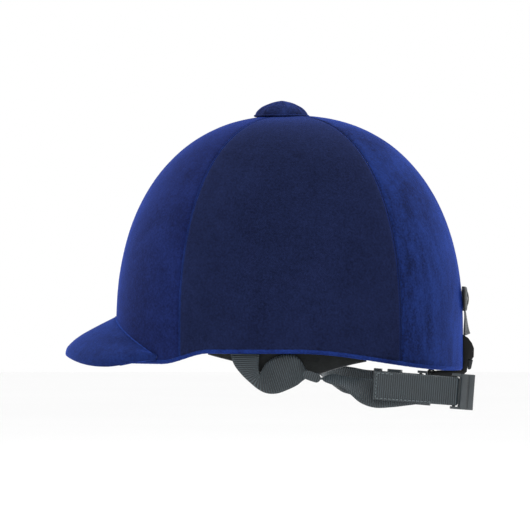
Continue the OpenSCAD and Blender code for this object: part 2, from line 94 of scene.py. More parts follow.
def rim_z(x):
    """Height of the rim at a place along the helmet."""
    rear = smooth((x - 5 * MM) / (HALF_LENGTH - 5 * MM))
    front = smooth((-x - 60 * MM) / (35 * MM))
    return -REAR_DIP * rear - FRONT_DIP * front


def plan_radius(angle, inset):
    """Radius of the plan outline, inset from the outside; angle in degrees."""
    a = np.radians(angle)
    along = np.abs(np.cos(a)) / (HALF_LENGTH - inset)
    across = np.abs(np.sin(a)) / (HALF_WIDTH - inset)
    return (along ** PLAN_POWER + across ** PLAN_POWER) ** (-1 / PLAN_POWER)


def half_width_at(x, inset):
    long = HALF_LENGTH - inset
    return (HALF_WIDTH - inset) * (1 - (np.abs(x) / long) ** PLAN_POWER) ** (1 / PLAN_POWER)


def wall_point(angle, inset, lift, t):
    r = plan_radius(angle, inset)
    a = np.radians(angle)
    low = rim_z(r * np.cos(a)) + lift
    return np.array([r * np.cos(a), r * np.sin(a), low + (WALL_HEIGHT - low) * t])


def crown_point(angle, inset, rise):
    a = np.radians(angle)
    b = np.radians(rise)
    r = plan_radius(angle, inset) * np.cos(b) ** (2 / CROWN_POWER)
    top = CROWN_HEIGHT - inset
    z = WALL_HEIGHT + top * np.sin(b) ** (2 / CROWN_POWER)
    return np.array([r * np.cos(a), r * np.sin(a), z])


def rows_up(angles, inset, lift, rises, wall_rows):
    """Grid of points from the rim up to a crown angle, one row at each level."""
    rows = [[wall_point(a, inset, lift, i / wall_rows) for a in angles] for i in range(wall_rows)]
    rows += [[crown_point(a, inset, rise) for a in angles] for rise in rises]
    return np.array(rows)


# ---- mesh helpers ----


def make_mesh(name, points, faces, uvs=None):
    mesh = bpy.data.meshes.new(name)
    mesh.from_pydata([tuple(p) for p in points], [], [tuple(f) for f in faces])
    mesh.validate()
    if uvs is not None:
        layer = mesh.uv_layers.new(name="UVMap")
        for loop in mesh.loops:
            layer.data[loop.index].uv = uvs[loop.vertex_index]
    for poly in mesh.polygons:
        poly.use_smooth = True
    obj = bpy.data.objects.new(name, mesh)
    bpy.context.collection.objects.link(obj)
    return obj


def grid_faces(rows, cols, round_rows=False, round_cols=False, start=0, flip=False):
    """Quads over a grid of rows x cols vertices that starts at a vertex number."""
    out = []
    for r in range(rows if round_rows else rows - 1):
        for c in range(cols if round_cols else cols - 1):
            a = start + r * cols + c
            b = start + r * cols + (c + 1) % cols
            d = start + ((r + 1) % rows) * cols + c
            e = start + ((r + 1) % rows) * cols + (c + 1) % cols
            out.append((a, d, e, b) if flip else (a, b, e, d))
    return out


def slab(name, outer, inner, wrap=False, cap=False, uvs=None):
    """Closed solid between an outer and an inner grid of points."""
    rows, cols = outer.shape[:2]
    n = rows * cols
    points = [*outer.reshape(-1, 3), *inner.reshape(-1, 3)]
    faces = grid_faces(rows, cols, round_cols=wrap)
    faces += grid_faces(rows, cols, round_cols=wrap, start=n, flip=True)
    last = cols if wrap else cols - 1
    top = (rows - 1) * cols
    for c in range(last):
        d = (c + 1) % cols
        faces.append((d, c, n + c, n + d))
        if not cap:
            faces.append((top + c, top + d, n + top + d, n + top + c))
    if cap:
        points += [outer[-1].mean(0), inner[-1].mean(0)]
        for c in range(last):
            d = (c + 1) % cols
            faces.append((top + c, top + d, 2 * n))
            faces.append((n + top + d, n + top + c, 2 * n + 1))
    if not wrap:
        for r in range(rows - 1):
            a, b = r * cols, (r + 1) * cols
            faces.append((a, b, n + b, n + a))
            faces.append((b + cols - 1, a + cols - 1, n + a + cols - 1, n + b + cols - 1))
    return make_mesh(name, points, faces, uvs)


def curve_through(points, step):
    """Points a step apart on a smooth curve through the given rows of numbers."""
    p = np.asarray(points, float)
    padded_points = np.vstack([2 * p[0] - p[1], p, 2 * p[-1] - p[-2]])
    out = []
    for i in range(1, len(padded_points) - 2):
        a, b, c, d = padded_points[i - 1:i + 3]
        count = max(2, int(np.linalg.norm((c - b)[:3]) / step))
        for k in range(count):
            t = k / count
            out.append(0.5 * (2 * b + (c - a) * t + (2 * a - 5 * b + 4 * c - d) * t ** 2
                              + (3 * b - a - 3 * c + d) * t ** 3))
    out.append(p[-1])
    return np.array(out)


def unit(v):
    v = np.asarray(v, float)
    return v / np.maximum(np.linalg.norm(v, axis=-1, keepdims=True), 1e-12)


def tube(name, path, radius, sides=8, closed=False):
    """Round cord along a path; radius is one number or one for each point."""
    path = np.asarray(path, float)
    n = len(path)
    radius = np.broadcast_to(radius, n)
    if closed:
        along = unit(np.roll(path, -1, 0) - np.roll(path, 1, 0))
    else:
        along = unit(np.gradient(path, axis=0))
    side = np.zeros_like(path)
    guide = np.array([0.0, 0.0, 1.0]) if abs(along[0][2]) < 0.9 else np.array([1.0, 0.0, 0.0])
    for i in range(n):
        guide = guide - along[i] * guide.dot(along[i])
        guide = unit(guide)
        side[i] = guide
    up = np.cross(along, side)
    rings = []
    for i in range(n):
        rings.append([path[i] + radius[i] * (math.cos(2 * math.pi * k / sides) * side[i]
                      + math.sin(2 * math.pi * k / sides) * up[i]) for k in range(sides)])
    points = np.array(rings).reshape(-1, 3)
    faces = grid_faces(n, sides, round_rows=closed, round_cols=True, flip=True)
    if not closed:
        faces.append(tuple(range(sides)))
        faces.append(tuple(reversed(range((n - 1) * sides, n * sides))))
    return make_mesh(name, points, faces)


def join(name, objects):
    """Joins pieces that are one thing, such as the threads of a seam."""
    bpy.ops.object.select_all(action="DESELECT")
    for obj in objects:
        obj.select_set(True)
    bpy.context.view_layer.objects.active = objects[0]
    bpy.ops.object.join()
    objects[0].name = name
    objects[0].data.name = name
    return objects[0]


def fix_normals(obj):
    bpy.ops.object.select_all(action="DESELECT")
    bpy.context.view_layer.objects.active = obj
    obj.select_set(True)
    bpy.ops.object.mode_set(mode="EDIT")
    bpy.ops.mesh.select_all(action="SELECT")
    bpy.ops.mesh.normals_make_consistent(inside=False)
    bpy.ops.object.mode_set(mode="OBJECT")


def dress(obj, look, body, replaced=()):
    """Gives a piece its material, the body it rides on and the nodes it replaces."""
    obj.data.materials.clear()
    obj.data.materials.append(MATERIALS[look])
    fix_normals(obj)
    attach(obj, body)
    if replaced:
        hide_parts(*replaced)
    return obj


def rounded_copy(name, node, bevel):
    """A copy of a CAD node with its edges rounded over."""
    source = frame["nodes"][node]
    obj = source.copy()
    obj.data = source.data.copy()
    obj.name = name
    obj.parent = None
    obj.matrix_world = source.matrix_world.copy()
    bpy.context.collection.objects.link(obj)
    weld = obj.modifiers.new("weld", "WELD")
    weld.merge_threshold = 1e-5
    flat = obj.modifiers.new("flat", "DECIMATE")
    flat.decimate_type = "DISSOLVE"
    flat.angle_limit = math.radians(1)
    round_off = obj.modifiers.new("round", "BEVEL")
    round_off.width = bevel
    round_off.segments = 3
    round_off.limit_method = "ANGLE"
    round_off.angle_limit = math.radians(30)
    round_off.use_clamp_overlap = True
    depsgraph = bpy.context.evaluated_depsgraph_get()
    mesh = bpy.data.meshes.new_from_object(obj.evaluated_get(depsgraph))
    obj.modifiers.clear()
    obj.data = mesh
    for poly in mesh.polygons:
        poly.use_smooth = True
    mesh.set_sharp_from_angle(angle=math.radians(40))
    return obj


# ---- materials ----


class Nodes:
    """A short way to build one material's node tree."""

    def __init__(self, name):
        self.material = bpy.data.materials.new(name)
        self.material.use_nodes = True
        self.tree = self.material.node_tree
        self.shader = self.tree.nodes["Principled BSDF"]
        self.place = self.add("ShaderNodeTexCoord").outputs["Object"]
        self.height = None

    def add(self, kind, **settings):
        node = self.tree.nodes.new(kind)
        for key, value in settings.items():
            setattr(node, key, value)
        return node

    def link(self, a, b):
        self.tree.links.new(a, b)

    def uv(self):
        return self.add("ShaderNodeTexCoord").outputs["UV"]

    def scaled(self, scale):
        mapping = self.add("ShaderNodeMapping")
        mapping.inputs["Scale"].default_value = scale
        self.link(self.place, mapping.inputs["Vector"])
        return mapping.outputs[0]

    def noise(self, scale, detail=4, rough=0.55, source=None, warp=0):
        node = self.add("ShaderNodeTexNoise")
        node.inputs["Scale"].default_value = scale
        node.inputs["Detail"].default_value = detail
        node.inputs["Roughness"].default_value = rough
        node.inputs["Distortion"].default_value = warp
        self.link(source or self.place, node.inputs["Vector"])
        return node.outputs[0]

    def math(self, operation, a, b, clamp=False):
        node = self.add("ShaderNodeMath", operation=operation, use_clamp=clamp)
        for i, value in enumerate((a, b)):
            if isinstance(value, (int, float)):
                node.inputs[i].default_value = value
            else:
                self.link(value, node.inputs[i])
        return node.outputs[0]

    def ramp(self, value, stops):
        node = self.add("ShaderNodeValToRGB")
        ramp = node.color_ramp
        while len(ramp.elements) < len(stops):
            ramp.elements.new(0.5)
        for element, (at, colour) in zip(ramp.elements, stops):
            element.position = at
            element.color = (*colour, 1)
        self.link(value, node.inputs[0])
        return node.outputs[0]

    def bump(self, height, distance, strength=1.0):
        node = self.add("ShaderNodeBump")
        node.inputs["Distance"].default_value = distance
        node.inputs["Strength"].default_value = strength
        self.link(height, node.inputs["Height"])
        if self.height is not None:
            self.link(self.height, node.inputs["Normal"])
        self.height = node.outputs[0]
        self.link(self.height, self.shader.inputs["Normal"])

    def set(self, **values):
        for key, value in values.items():
            self.shader.inputs[key.replace("_", " ")].default_value = value

    def colour(self, output):
        self.link(output, self.shader.inputs["Base Color"])

    def roughness(self, value, low, high):
        node = self.add("ShaderNodeMapRange")
        node.inputs["To Min"].default_value = low
        node.inputs["To Max"].default_value = high
        self.link(value, node.inputs["Value"])
        self.link(node.outputs[0], self.shader.inputs["Roughness"])


def velvet(name, dark, light, brushed, streak=(1, 1, 1), glow=0.5):
    """Cut pile: dark face on, bright at grazing angles, brushed into lighter patches."""
    n = Nodes(name)
    patches = n.noise(22, 6, 0.62, source=n.scaled(streak), warp=0.8)
    strokes = n.noise(130, 5, 0.7, source=n.scaled(streak), warp=0.3)
    pile = n.noise(2600, 2, 0.6)
    tufts = n.noise(640, 4, 0.68)
    brushing = n.math("ADD", n.math("MULTIPLY", strokes, 0.4), n.math("MULTIPLY", patches, 0.6))
    brushing = n.math("MULTIPLY", n.math("SUBTRACT", brushing, 0.5), 2.4 * brushed)
    grain = n.math("MULTIPLY", n.math("SUBTRACT", tufts, 0.5), 1.5)
    value = n.math("ADD", n.math("ADD", brushing, grain), 0.45, clamp=True)
    n.colour(n.ramp(value, [(0.1, dark), (0.9, light)]))
    n.roughness(tufts, 0.82, 0.98)
    n.bump(pile, 0.00022, 0.55)
    n.bump(tufts, 0.0004, 0.3)
    n.bump(patches, 0.0018, 0.15)
    n.set(Sheen_Weight=glow, Sheen_Roughness=0.35, Sheen_Tint=(*NAVY_SHEEN, 1),
          Specular_IOR_Level=0.05)
    return n.material


def webbing_cloth(name, colour, light, rib=1.6 * MM, gloss=0.5, fuzz=0.3):
    """Woven webbing. Its UV map holds metres: u across the strap, v along it."""
    n = Nodes(name)
    uv = n.uv()
    wave = n.add("ShaderNodeTexWave", wave_type="BANDS", bands_direction="Y", wave_profile="SIN")
    wave.inputs["Scale"].default_value = 0.314 / rib
    wave.inputs["Distortion"].default_value = 0.25
    wave.inputs["Detail"].default_value = 2
    wave.inputs["Detail Scale"].default_value = 2.5
    n.link(uv, wave.inputs["Vector"])
    warp = n.add("ShaderNodeTexWave", wave_type="BANDS", bands_direction="X", wave_profile="SIN")
    warp.inputs["Scale"].default_value = 0.314 / (0.55 * MM)
    warp.inputs["Distortion"].default_value = 0.5
    n.link(uv, warp.inputs["Vector"])
    fibres = n.noise(3000, 3, 0.7)
    wear = n.noise(90, 4, 0.6)
    # The colour follows the rib and warp bands that also make the bumps: painted shade in the
    # grooves and painted highlight on the rib tops, mixed with random wear.
    rib_shade_and_wear = n.math("MULTIPLY", wave.outputs["Fac"], 0.66)
    rib_shade_and_wear = n.math("ADD", rib_shade_and_wear, n.math("MULTIPLY", warp.outputs["Fac"], 0.2))
    rib_shade_and_wear = n.math("ADD", rib_shade_and_wear, n.math("MULTIPLY", wear, 0.34))
    n.colour(n.ramp(rib_shade_and_wear, [(0.28, colour), (0.98, light)]))
    n.roughness(wear, gloss - 0.08, gloss + 0.12)
    n.bump(wave.outputs["Fac"], 0.00045, 0.8)
    n.bump(warp.outputs["Fac"], 0.00012, 0.5)
    n.bump(fibres, 0.00008, 0.4)
    n.set(Sheen_Weight=fuzz, Sheen_Roughness=0.4, Sheen_Tint=(0.5, 0.65, 0.72, 1),
          Specular_IOR_Level=0.4)
    return n.material


def suede(name, dark, light, scale=1.0):
    n = Nodes(name)
    nap = n.noise(1500 * scale, 4, 0.65)
    creases = n.noise(120 * scale, 6, 0.6, warp=1.2)
    worn = n.noise(40, 3, 0.5)
    value = n.math("ADD", n.math("MULTIPLY", nap, 0.4), n.math("MULTIPLY", creases, 0.6))
    n.colour(n.ramp(value, [(0.3, dark), (0.75, light)]))
    n.roughness(worn, 0.7, 0.95)
    n.bump(nap, 0.00012, 0.5)
    n.bump(creases, 0.0007, 0.35)
    n.set(Sheen_Weight=0.25, Sheen_Roughness=0.5, Specular_IOR_Level=0.25)
    return n.material


def plastic(name, dark, light, rough, grain=0.3, shine=0.5):
    """Moulded plastic: faint grain, rubbed spots and a little sheen from handling."""
    n = Nodes(name)
    specks = n.noise(1800, 3, 0.6)
    rubbed = n.noise(60, 4, 0.6, warp=0.5)
    n.colour(n.ramp(rubbed, [(0.3, dark), (0.8, light)]))
    n.roughness(rubbed, rough - 0.06, rough + 0.12)
    n.bump(specks, 0.00006, grain)
    n.set(Specular_IOR_Level=shine)
    return n.material


def steel(name):
    n = Nodes(name)
    brushed = n.noise(900, 3, 0.6, source=n.scaled((1, 1, 12)))
    n.colour(n.ramp(brushed, [(0.3, (0.42, 0.43, 0.45)), (0.8, (0.6, 0.61, 0.63))]))
    n.roughness(brushed, 0.25, 0.42)
    n.bump(brushed, 0.00003, 0.4)
    n.set(Metallic=1.0)
    return n.material


def bead_foam(name):
    """Expanded foam: pale beads pressed together, with darker joints."""
    n = Nodes(name)
    cells = n.add("ShaderNodeTexVoronoi", feature="DISTANCE_TO_EDGE")
    cells.inputs["Scale"].default_value = 330
    n.link(n.place, cells.inputs["Vector"])
    joints = n.math("MULTIPLY", cells.outputs["Distance"], 5.0, clamp=True)
    n.colour(n.ramp(joints, [(0.0, (0.09, 0.09, 0.10)), (0.5, (0.16, 0.16, 0.17))]))
    n.roughness(joints, 0.8, 0.6)
    n.bump(joints, 0.0004, 0.5)
    return n.material


def knit(name, dark, light):
    """Brushed knit of the comfort pads, with small holes in rows."""
    n = Nodes(name)
    loops = n.add("ShaderNodeTexVoronoi", feature="F1")
    loops.inputs["Scale"].default_value = 620
    loops.inputs["Randomness"].default_value = 0.35
    n.link(n.place, loops.inputs["Vector"])
    soft = n.noise(60, 4, 0.6)
    fuzz = n.noise(2200, 2, 0.6)
    value = n.math("ADD", n.math("MULTIPLY", loops.outputs["Distance"], 0.9),
                   n.math("MULTIPLY", soft, 0.4))
    n.colour(n.ramp(value, [(0.2, dark), (0.9, light)]))
    n.roughness(soft, 0.8, 0.97)
    n.bump(loops.outputs["Distance"], 0.0003, -0.5)
    n.bump(fuzz, 0.0001, 0.4)
    n.set(Sheen_Weight=0.3, Sheen_Roughness=0.5, Specular_IOR_Level=0.2)
    return n.material


NAVY_SHEEN = (0.035, 0.10, 0.62)
LOOKS = {
    # One navy velvet in several copies: the front, rear and peak copies are lighter and the side
    # copy darker, painted light for the sheen each panel shows at its angle; the rear's streaks are
    # random brushing.
    "velvet_front": (velvet, (0.003, 0.005, 0.028), (0.008, 0.016, 0.085), 0.8),
    "velvet_side": (velvet, (0.0032, 0.0052, 0.020), (0.009, 0.0145, 0.052), 0.5, (1, 1, 1), 0.42),
    "velvet_rear": (velvet, (0.003, 0.006, 0.030), (0.009, 0.023, 0.12), 1.3, (1, 1, 0.35)),
    "velvet_peak": (velvet, (0.004, 0.008, 0.040), (0.010, 0.024, 0.12), 0.9),
    "velvet_button": (velvet, (0.003, 0.005, 0.022), (0.010, 0.019, 0.080), 1.6, (1, 1, 1), 0.4),
    # hem_cloth is lighter than the velvet beside it: painted sheen along the rolled edge.
    "hem_cloth": (velvet, (0.0045, 0.010, 0.060), (0.010, 0.028, 0.15), 0.9),
    # seam_thread is a lighter velvet: a painted highlight along the peak's seam fold.
    "seam_thread": (velvet, (0.009, 0.022, 0.12), (0.016, 0.044, 0.21), 0.6),
    # webbing and ribbon: their dark and light colours are the grooves and tops of the ribs, painted
    # shade and painted highlight.
    "webbing": (webbing_cloth, (0.003, 0.0045, 0.006), (0.030, 0.043, 0.051), 1.6 * MM, 0.5, 0.15),
    "ribbon": (webbing_cloth, (0.0015, 0.002, 0.0025), (0.009, 0.011, 0.012), 0.75 * MM, 0.5, 0.08),
    "thread": (suede, (0.07, 0.09, 0.10), (0.14, 0.17, 0.18)),
    "flap_suede": (suede, (0.002, 0.0028, 0.0028), (0.010, 0.0125, 0.013)),
    "binding": (suede, (0.004, 0.005, 0.006), (0.015, 0.018, 0.020), 1.6),
    "shell_plastic": (plastic, (0.012, 0.013, 0.014), (0.02, 0.022, 0.024), 0.5),
    "board": (plastic, (0.03, 0.03, 0.032), (0.045, 0.045, 0.047), 0.6),
    "buckle_plastic": (plastic, (0.012, 0.017, 0.020), (0.026, 0.034, 0.039), 0.34, 0.4),
    "bracket_plastic": (plastic, (0.002, 0.0022, 0.0025), (0.005, 0.0056, 0.006), 0.3, 0.15, 0.16),
    "ring_metal": (plastic, (0.006, 0.007, 0.008), (0.014, 0.016, 0.018), 0.5, 0.2, 0.2),
    "steel": (steel,),
    "foam": (bead_foam,),
    "lining": (knit, (0.008, 0.009, 0.011), (0.028, 0.031, 0.036)),
}
MATERIALS = {name: make(name, *values) for name, (make, *values) in LOOKS.items()}


# ---- camera, light and floor ----


def studio():
    """A pale flat floor, soft lights and white surroundings."""
    low, high = (Vector(c) for c in CAD_BOX)
    floor_z = low.z - 118 * MM    # clear of the hanging straps
    half = 9.0
    corners = [(-half, -half, floor_z), (half, -half, floor_z), (half, half, floor_z),
               (-half, half, floor_z)]
    floor = make_mesh("floor", corners, [(0, 1, 2, 3)])
    n = Nodes("floor_paper")
    n.colour(n.ramp(n.noise(2.0), [(0.3, (0.955, 0.955, 0.955)), (0.8, (0.975, 0.975, 0.975))]))
    n.set(Roughness=0.9, Specular_IOR_Level=0.1)
    floor.data.materials.append(n.material)

    world = bpy.data.worlds.new("studio")
    world.use_nodes = True
    world.node_tree.nodes["Background"].inputs[0].default_value = (1.0, 1.0, 1.0, 1)
    world.node_tree.nodes["Background"].inputs[1].default_value = 1.0
    bpy.context.scene.world = world

    def lamp(name, place, target, size, power):
        data = bpy.data.lights.new(name, "AREA")
        data.shape = "DISK"
        data.size = size
        data.energy = power
        light = bpy.data.objects.new(name, data)
        light.location = place
        light.rotation_euler = (Vector(target) - Vector(place)).to_track_quat("-Z", "Y").to_euler()
        bpy.context.collection.objects.link(light)

    middle = (low + high) / 2
    lamp("key", (-0.7, -1.3, 1.3), middle, 0.9, 12)
    lamp("fill", (1.1, -1.5, 0.5), middle, 1.2, 4)
    lamp("rim_front", (-1.3, 0.7, 0.7), middle, 0.8, 14)
    lamp("rim_rear", (1.3, 0.7, 0.8), middle, 0.8, 16)
    lamp("top", (0.0, 0.1, 1.7), middle, 0.9, 14)


VIEW_WIDTH = 397.5 * MM      # what the picture spans at the helmet
VIEW_CENTRE = (-18.4 * MM, 62.3 * MM)
VIEW_DISTANCE = 5.0


def camera():
    bpy.context.scene.view_settings.view_transform = "Standard"
    data = bpy.data.cameras.new("camera")
    data.sensor_width = 36
    data.lens = 36 * VIEW_DISTANCE / VIEW_WIDTH
    data.clip_end = 50
    cam = bpy.data.objects.new("camera", data)
    cam.location = (VIEW_CENTRE[0], -VIEW_DISTANCE, VIEW_CENTRE[1])
    cam.rotation_euler = (math.radians(90), 0, 0)
    bpy.context.collection.objects.link(cam)
    bpy.context.scene.camera = cam


# ---- velvet cover ----

GORE_ROLL = 2.4 * MM         # the velvet turns in over this width at a seam
GORE_DIP = 0.55 * MM


def ripple(p, size, seed):
    """A value from -1 to 1 that varies smoothly over the object."""
    return noise.noise(Vector((p[0] / size + seed, p[1] / size, p[2] / size)))


def gore(name, start, end, slot, node):
    gap = 0.02
    columns = 61
    angles = start + gap + (end - start - 2 * gap) * np.linspace(0, 1, columns)
    rises = np.linspace(0, 1, 60) ** 0.9 * 86.5
    outer = rows_up(angles, 0, 0.2 * MM, rises, 7)
    inner = rows_up(angles, VELVET, 0.2 * MM, rises, 7)
    outward = unit(outer - inner)
    for r in range(outer.shape[0]):
        for c in range(columns):
            p = outer[r, c]
            edge = min(np.linalg.norm(p - outer[r, 0]), np.linalg.norm(p - outer[r, -1]))
            turn = 1 - smooth(edge / GORE_ROLL)
            swell = 0.10 * MM * ripple(p, 22 * MM, 3.1) + 0.05 * MM * ripple(p, 6 * MM, 7.7)
            pucker = 0.10 * MM * ripple(p, 3.2 * MM, 1.3) * (1 - smooth(edge / (9 * MM)))
            outer[r, c] = p + outward[r, c] * (swell + pucker - GORE_DIP * turn)
    obj = slab(name, outer, inner)
    return dress(obj, slot, "helmet", [node])


def seam_line(angle):
    """The line of a seam on the outside, from the rim up to the button."""
    low = [wall_point(angle, 0, 0.5 * MM, t) for t in np.linspace(0, 0.9, 12)]
    return np.array(low + [crown_point(angle, 0, r) for r in np.linspace(0, 86.0, 170)])


def seam_welt(name, angle, radius):
    """Fine raised welt where two gores are sewn together."""
    line = seam_line(angle)
    centre = unit(line * np.array([1, 1, 0.6]))
    wobble = np.array([0.07 * MM * ripple(p, 3 * MM, 5.5) for p in line])[:, None]
    sizes = radius * np.array([1 + 0.22 * ripple(p, 2.2 * MM, 9.1) for p in line])
    return tube(name, line - centre * 0.42 * MM + centre * wobble, sizes, 7)


def cover():
    s = SEAM_ANGLE
    # Each gore gets its own lit or shaded copy of the velvet, so the panel colours carry painted
    # light.
    gore("velvet_gore_front", 180 - s, 180 + s, "velvet_front", "cover_front")
    gore("velvet_gore_left", 180 + s, 360 - s, "velvet_side", "cover_left")
    gore("velvet_gore_right", s, 180 - s, "velvet_side", "cover_right")
    gore("velvet_gore_rear", -s, s, "velvet_rear", "cover_rear")
    for name, angle, radius in (
            ("seam_front_left", 180 + s, 0.44), ("seam_front_right", 180 - s, 0.44),
            ("seam_rear_left", -s, 0.38), ("seam_rear_right", s, 0.38)):
        # The front welts take the lighter peak velvet: a painted highlight along the seam fold.
        bright = "velvet_peak" if "front" in name else "velvet_side"
        dress(seam_welt(name, angle, radius * MM), bright, "helmet")


HEM_SECTION = [(0.9, 1.2), (0.35, 0.7), (0.0, 0.1), (-0.05, -1.1), (0.35, -2.1), (1.1, -2.7),
               (2.2, -2.9), (3.3, -2.7), (4.1, -2.1), (4.5, -1.1), (4.5, 0.4), (4.4, 2.2),
               (4.15, 2.2), (4.0, 0.2), (1.6, 0.2)]


def hem():
    """The velvet's turned edge round the rim, with fine puckers from its stitching."""
    columns = 720
    angles = np.linspace(0, 360, columns, endpoint=False)
    grid = []
    for inset, height in HEM_SECTION:
        r = plan_radius(angles, inset * MM)
        a = np.radians(angles)
        pucker = 0.10 * MM * np.sin(angles * 3.1) * np.sin(angles * 0.7)
        ring = np.stack([(r + pucker) * np.cos(a), (r + pucker) * np.sin(a),
                         rim_z(r * np.cos(a)) + height * MM + pucker * 0.6], axis=1)
        grid.append(ring)
    grid = np.array(grid)
    rows = len(HEM_SECTION)
    faces = grid_faces(rows, columns, round_rows=True, round_cols=True)
    obj = make_mesh("hem_roll", grid.reshape(-1, 3), faces)
    # The hem is dressed in the lighter hem_cloth velvet: painted sheen along the rolled edge.
    dress(obj, "hem_cloth", "helmet", ["hem_binding"])


# ---- peak ----

PEAK_ROOT = 97 * MM
PEAK_REACH = 38 * MM
PEAK_BOARD = 3.2 * MM
PEAK_END = 0.985


def peak_taper(s):
    return 1 - 0.7 * smooth((np.abs(s) - 0.6) / 0.4)


def peak_point(s, t, depth):
    """A point on the peak: s from -1 to 1 across, t = 0 at the shell and 1 at the edge."""
    reach = math.degrees(math.atan2(half_width_at(PEAK_ROOT, 0), PEAK_ROOT))
    angle = 180 + s * reach
    r = plan_radius(angle, -0.15 * MM)
    a = math.radians(angle)
    p = np.array([r * math.cos(a), r * math.sin(a)])
    long = HALF_LENGTH + PEAK_REACH - PEAK_ROOT
    wide = half_width_at(PEAK_ROOT, 0)
    b = math.radians(90 * s)
    q = np.array([-PEAK_ROOT - long * math.cos(b), -wide * math.sin(b)])
    join_z = (23.6 - 30 * abs(s) ** 1.4) * MM
    lip_z = (4.5 - 7.5 * smooth(abs(s) * 1.7) + 1.6 * smooth((abs(s) - 0.6) / 0.4)) * MM
    roll = 5.5 * MM * t ** 6
    xy = p + (q - p) * t
    return np.array([*xy, join_z + (lip_z - join_z) * t - roll - depth * peak_taper(s)])


def peak_section(s, count):
    """One cut through the peak: along the top, round the rolled edge and back underneath."""
    whole = 2 * VELVET + PEAK_BOARD + 0.1 * MM
    edge_t = 0.955
    top = [peak_point(s, edge_t * (i / count) ** 0.8, 0) for i in range(count + 1)]
    under = [peak_point(s, edge_t * (i / count) ** 0.8, whole) for i in range(count + 1)]
    a, b = top[-1], under[-1]
    tip = (peak_point(s, 1, 0) + peak_point(s, 1, whole)) / 2
    middle = (a + b) / 2
    outward = tip - middle
    half = (a - b) / 2
    nose = [middle + half * math.cos(k) + outward * math.sin(k)
            for k in np.linspace(0, math.pi, 13)[1:-1]]
    return top, nose, under[::-1]


def peak():
    """Velvet over and under the board, meeting at a rolled edge."""
    across = np.linspace(-PEAK_END, PEAK_END, 141)
    sections = [peak_section(s, 26) for s in across]

    def skin(points, seed):
        pts = np.array(points)
        for i in range(pts.shape[0]):
            for j in range(pts.shape[1]):
                p = pts[i, j]
                pts[i, j, 2] += (0.10 * MM * ripple(p, 16 * MM, seed)
                                 + 0.05 * MM * ripple(p, 5 * MM, seed))
        return pts

    top = skin([a + n[:9] for a, n, _ in sections], 2.2)
    under = skin([n[8:] + u for _, n, u in sections], 4.4)
    for name, outer, node in (("peak_velvet_top", top, "peak_top_cover"),
                              ("peak_velvet_under", under, "peak_under_cover")):
        normal = unit(np.cross(np.gradient(outer, axis=1), np.gradient(outer, axis=0)))
        middle = np.array([[peak_point(s, 0.5, 2.9 * MM)] for s in across])
        sign = np.sign(((outer - middle) * normal).sum(-1, keepdims=True))
        inner = outer - normal * np.where(sign == 0, 1, sign) * 1.0 * MM
        obj = slab(name, outer, inner)
        dress(obj, "velvet_peak", "helmet", [node])
    line = np.array([peak_point(s, 0.004, -0.1 * MM)
                     for s in np.linspace(-PEAK_END, PEAK_END, 220)])
    welt = tube("peak_seam", line, 0.42 * MM, 7)
    # The peak's seam welt is dressed in seam_thread: a painted highlight along the fold.
    dress(welt, "seam_thread", "helmet")


# ---- crown button ----


def button():
    """Velvet gathered over the button, with soft folds where the cloth is pulled in."""
    low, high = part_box("button_cover")
    centre = (low + high) / 2
    radius = (high.x - low.x) / 2
    height = high.z - low.z
    columns, rows = 144, 44
    grid = []
    for r in range(rows):
        rise = math.radians(90 * r / (rows - 1) * 0.985)
        row = []
        for c in range(columns):
            a = 2 * math.pi * c / columns
            folds = 0.6 * math.sin(7 * a + 1.3 * math.sin(2 * a)) + 0.4 * math.sin(13 * a + 2)
            low_part = rise < math.pi / 4
            fade = math.sin(2 * rise) ** 1.5 if low_part else math.cos(rise - math.pi / 4) ** 3
            dent = 1.1 * MM * max(0.0, folds) ** 0.7 * fade
            flat = (radius - dent) * math.cos(rise) ** 1.3
            up = height * math.sin(rise) - dent * 0.7 * math.sin(rise)
            p = np.array([centre.x + flat * math.cos(a), centre.y + flat * math.sin(a), low.z + up])
            p += unit(np.array([math.cos(a), math.sin(a), 0.6])) * 0.3 * MM * ripple(p, 5 * MM, 6.6)
            row.append(p)
        grid.append(row)
    outer = np.array(grid)
    middle = np.array([centre.x, centre.y, low.z])
    inner = middle + (outer - middle) * 0.93
    inner[0, :, 2] = outer[0, :, 2]
    obj = slab("button_velvet", outer, inner, wrap=True, cap=True)
    dress(obj, "velvet_button", "helmet", ["button_cover"])
    rim = radius + 0.1 * MM
    ring = [(centre.x + rim * math.cos(a), centre.y + rim * math.sin(a), low.z + 0.9 * MM)
            for a in np.linspace(0, 2 * math.pi, 120, endpoint=False)]
    base = tube("button_welt", ring, 0.75 * MM, 8, closed=True)
    dress(base, "velvet_button", "helmet")


# ---- liner and pads ----


def liner():
    """Foam liner with its beads, and a fine mesh where only the CAD facets were."""
    angles = np.linspace(0, 360, 144, endpoint=False)
    rises = np.linspace(0, 87, 40)
    outer = rows_up(angles, FOAM_OUTSIDE + 0.1 * MM, 7 * MM, rises, 3)
    inner = rows_up(angles, HEAD_INSIDE, 7 * MM, rises, 3)
    obj = slab("foam_liner_fine", outer, inner, wrap=True, cap=True)
    dress(obj, "foam", "helmet", ["foam_liner"])


def pad_faces(angles, rises):
    """The back and the untouched front of a pad, as grids on the foam's inside."""
    return [np.array([[crown_point(a, HEAD_INSIDE + lift, r) for a in angles] for r in rises])
            for lift in (PAD_BACK, PAD)]


